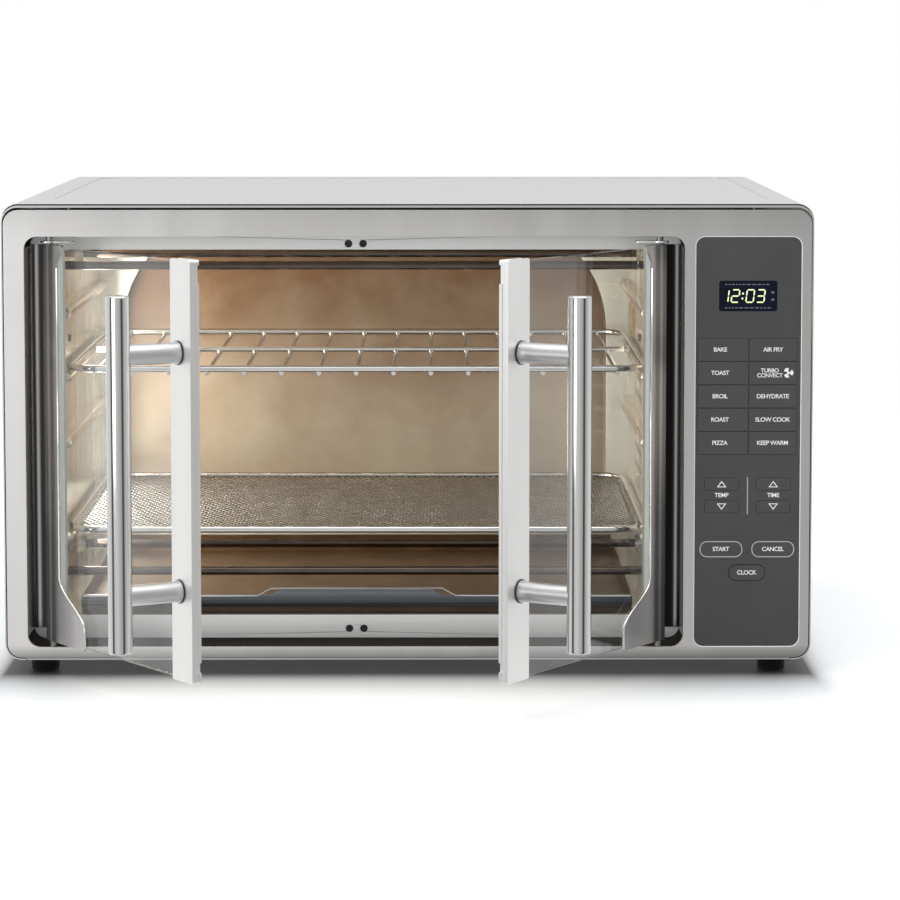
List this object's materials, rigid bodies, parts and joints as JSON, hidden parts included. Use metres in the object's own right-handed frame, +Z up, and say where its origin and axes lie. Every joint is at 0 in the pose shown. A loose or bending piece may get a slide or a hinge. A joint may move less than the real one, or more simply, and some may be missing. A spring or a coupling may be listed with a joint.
{
  "type": "countertop convection oven",
  "caption": "Countertop convection oven with paired glass doors on a shared linkage, bar handles, key panel, wire rack, mesh tray and crumb tray.",
  "frame": {"origin": "on the table, in the middle of the footprint from the handles' front to the casing's back, doors half open", "axes": "+X to the user's right, +Y towards the back of the oven, +Z up"},
  "size_m": [0.576, 0.685, 0.336],
  "materials": {
    "shell_steel": "brushed, horizontal grain",
    "frame_steel": "brushed, horizontal grain",
    "flange_steel": "bright, fine grain",
    "plain_steel": "dull zinc-plated",
    "cavity_steel": "satin, warm with use",
    "polished_steel": "polished",
    "brushed_trim": "brushed, upright grain",
    "handle_steel": "satin, upright grain",
    "chrome_wire": "bright",
    "mesh_steel": "woven, bright",
    "heater_steel": "heat-darkened",
    "tray_coating": "satin grey-blue",
    "fan_aluminium": "plain",
    "door_glass": "clear, polished",
    "lamp_glass": "frosted",
    "panel_plastic": "satin dark grey",
    "display_plastic": "gloss dark blue",
    "board": "circuit board",
    "black_plastic": "satin black",
    "black_rubber": "matte black"
  },
  "bodies": {
    "casing": {"outer_shell": "shell_steel", "front_frame": "frame_steel", "base_pan": "plain_steel", "rear_panel": "plain_steel", "feet": "black_rubber", "cord_gland": "black_plastic", "shell_screws": "chrome_wire", "front_flange": "flange_steel", "cavity_floor": "cavity_steel", "cavity_ceiling": "cavity_steel", "cavity_left_wall": "cavity_steel", "cavity_right_wall": "cavity_steel", "cavity_back_wall": "cavity_steel", "heater_rods": "heater_steel", "heater_bushings": "chrome_wire", "catch_plungers": "black_plastic", "lamp_lens": "lamp_glass", "lamp_bulb": "lamp_glass", "fan_cover": "plain_steel", "fan_motor": "plain_steel", "control_panel": "panel_plastic", "display_window": "display_plastic", "control_board": "board"},
    "left_door": {"left_hinge_stile": "polished_steel", "left_latch_stile": "brushed_trim", "left_door_glass": "door_glass", "left_handle_bar": "handle_steel", "left_handle_posts": "handle_steel"},
    "right_door": {"right_hinge_stile": "polished_steel", "right_latch_stile": "brushed_trim", "right_door_glass": "door_glass", "right_handle_bar": "handle_steel", "right_handle_posts": "handle_steel"},
    "left_link": {"left_link_bar": "plain_steel"},
    "right_link": {"right_link_bar": "plain_steel"},
    "lever": {"sync_lever": "plain_steel"},
    "upper_rack": {"wire_rack": "chrome_wire"},
    "lower_tray": {"tray_frame": "chrome_wire", "tray_screen": "mesh_steel"},
    "crumb_drawer": {"crumb_tray": "tray_coating"},
    "fan": {"fan_blade": "fan_aluminium", "motor_shaft": "chrome_wire", "cooling_fan": "fan_aluminium"},
    "bake_button": {"bake_key": "panel_plastic"},
    "toast_button": {"toast_key": "panel_plastic"},
    "broil_button": {"broil_key": "panel_plastic"},
    "roast_button": {"roast_key": "panel_plastic"},
    "pizza_button": {"pizza_key": "panel_plastic"},
    "air_fry_button": {"air_fry_key": "panel_plastic"},
    "convect_button": {"convect_key": "panel_plastic"},
    "dehydrate_button": {"dehydrate_key": "panel_plastic"},
    "slow_cook_button": {"slow_cook_key": "panel_plastic"},
    "keep_warm_button": {"keep_warm_key": "panel_plastic"},
    "temp_up_button": {"temp_up_key": "panel_plastic"},
    "temp_down_button": {"temp_down_key": "panel_plastic"},
    "time_up_button": {"time_up_key": "panel_plastic"},
    "time_down_button": {"time_down_key": "panel_plastic"},
    "start_button": {"start_key": "panel_plastic"},
    "cancel_button": {"cancel_key": "panel_plastic"},
    "clock_button": {"clock_key": "panel_plastic"}
  },
  "joints": [
    {"name": "left_door_hinge", "type": "hinge", "parent": "casing", "child": "left_door", "pos_m": [-0.2539, -0.141, 0.024], "axis": [0, 0, -1], "range_deg": [-58, 37]},
    {"name": "right_door_hinge", "type": "hinge", "parent": "casing", "child": "right_door", "pos_m": [0.1787, -0.141, 0.024], "axis": [0, 0, 1], "range_deg": [-58, 37]},
    {"name": "left_link_slide", "type": "slide", "parent": "casing", "child": "left_link", "axis": [1, 0, 0], "range_m": [-0.01124, 0.0072]},
    {"name": "right_link_slide", "type": "slide", "parent": "casing", "child": "right_link", "axis": [-1, 0, 0], "range_m": [-0.01124, 0.0072]},
    {"name": "sync_lever_pivot", "type": "hinge", "parent": "casing", "child": "lever", "pos_m": [-0.0376, -0.12089, 0.315], "axis": [0, 0, -1], "range_deg": [-58, 37]},
    {"name": "upper_rack_slide", "type": "slide", "parent": "casing", "child": "upper_rack", "axis": [0, -1, 0], "range_m": [0, 0.05]},
    {"name": "lower_tray_slide", "type": "slide", "parent": "casing", "child": "lower_tray", "axis": [0, -1, 0], "range_m": [0, 0.05]},
    {"name": "crumb_tray_slide", "type": "slide", "parent": "casing", "child": "crumb_drawer", "axis": [0, -1, 0], "range_m": [0, 0.045]},
    {"name": "fan_spin", "type": "hinge", "parent": "casing", "child": "fan", "pos_m": [0.2174, 0.0795, 0.15], "axis": [1, 0, 0], "continuous": true},
    {"name": "bake_press", "type": "slide", "parent": "casing", "child": "bake_button", "axis": [0, 1, 0], "range_m": [0, 0.0005], "stiffness_N_per_m": 2000},
    {"name": "toast_press", "type": "slide", "parent": "casing", "child": "toast_button", "axis": [0, 1, 0], "range_m": [0, 0.0005], "stiffness_N_per_m": 2000},
    {"name": "broil_press", "type": "slide", "parent": "casing", "child": "broil_button", "axis": [0, 1, 0], "range_m": [0, 0.0005], "stiffness_N_per_m": 2000},
    {"name": "roast_press", "type": "slide", "parent": "casing", "child": "roast_button", "axis": [0, 1, 0], "range_m": [0, 0.0005], "stiffness_N_per_m": 2000},
    {"name": "pizza_press", "type": "slide", "parent": "casing", "child": "pizza_button", "axis": [0, 1, 0], "range_m": [0, 0.0005], "stiffness_N_per_m": 2000},
    {"name": "air_fry_press", "type": "slide", "parent": "casing", "child": "air_fry_button", "axis": [0, 1, 0], "range_m": [0, 0.0005], "stiffness_N_per_m": 2000},
    {"name": "convect_press", "type": "slide", "parent": "casing", "child": "convect_button", "axis": [0, 1, 0], "range_m": [0, 0.0005], "stiffness_N_per_m": 2000},
    {"name": "dehydrate_press", "type": "slide", "parent": "casing", "child": "dehydrate_button", "axis": [0, 1, 0], "range_m": [0, 0.0005], "stiffness_N_per_m": 2000},
    {"name": "slow_cook_press", "type": "slide", "parent": "casing", "child": "slow_cook_button", "axis": [0, 1, 0], "range_m": [0, 0.0005], "stiffness_N_per_m": 2000},
    {"name": "keep_warm_press", "type": "slide", "parent": "casing", "child": "keep_warm_button", "axis": [0, 1, 0], "range_m": [0, 0.0005], "stiffness_N_per_m": 2000},
    {"name": "temp_up_press", "type": "slide", "parent": "casing", "child": "temp_up_button", "axis": [0, 1, 0], "range_m": [0, 0.0005], "stiffness_N_per_m": 2000},
    {"name": "temp_down_press", "type": "slide", "parent": "casing", "child": "temp_down_button", "axis": [0, 1, 0], "range_m": [0, 0.0005], "stiffness_N_per_m": 2000},
    {"name": "time_up_press", "type": "slide", "parent": "casing", "child": "time_up_button", "axis": [0, 1, 0], "range_m": [0, 0.0005], "stiffness_N_per_m": 2000},
    {"name": "time_down_press", "type": "slide", "parent": "casing", "child": "time_down_button", "axis": [0, 1, 0], "range_m": [0, 0.0005], "stiffness_N_per_m": 2000},
    {"name": "start_press", "type": "slide", "parent": "casing", "child": "start_button", "axis": [0, 1, 0], "range_m": [0, 0.0005], "stiffness_N_per_m": 2000},
    {"name": "cancel_press", "type": "slide", "parent": "casing", "child": "cancel_button", "axis": [0, 1, 0], "range_m": [0, 0.0005], "stiffness_N_per_m": 2000},
    {"name": "clock_press", "type": "slide", "parent": "casing", "child": "clock_button", "axis": [0, 1, 0], "range_m": [0, 0.0005], "stiffness_N_per_m": 2000}
  ],
  "couplings": [
    {"joint": "right_door_hinge", "follows": "left_door_hinge", "ratio": 1},
    {"joint": "left_link_slide", "follows": "left_door_hinge", "m_per_rad": 0.011},
    {"joint": "right_link_slide", "follows": "left_door_hinge", "m_per_rad": 0.011},
    {"joint": "sync_lever_pivot", "follows": "left_door_hinge", "ratio": 1}
  ]
}
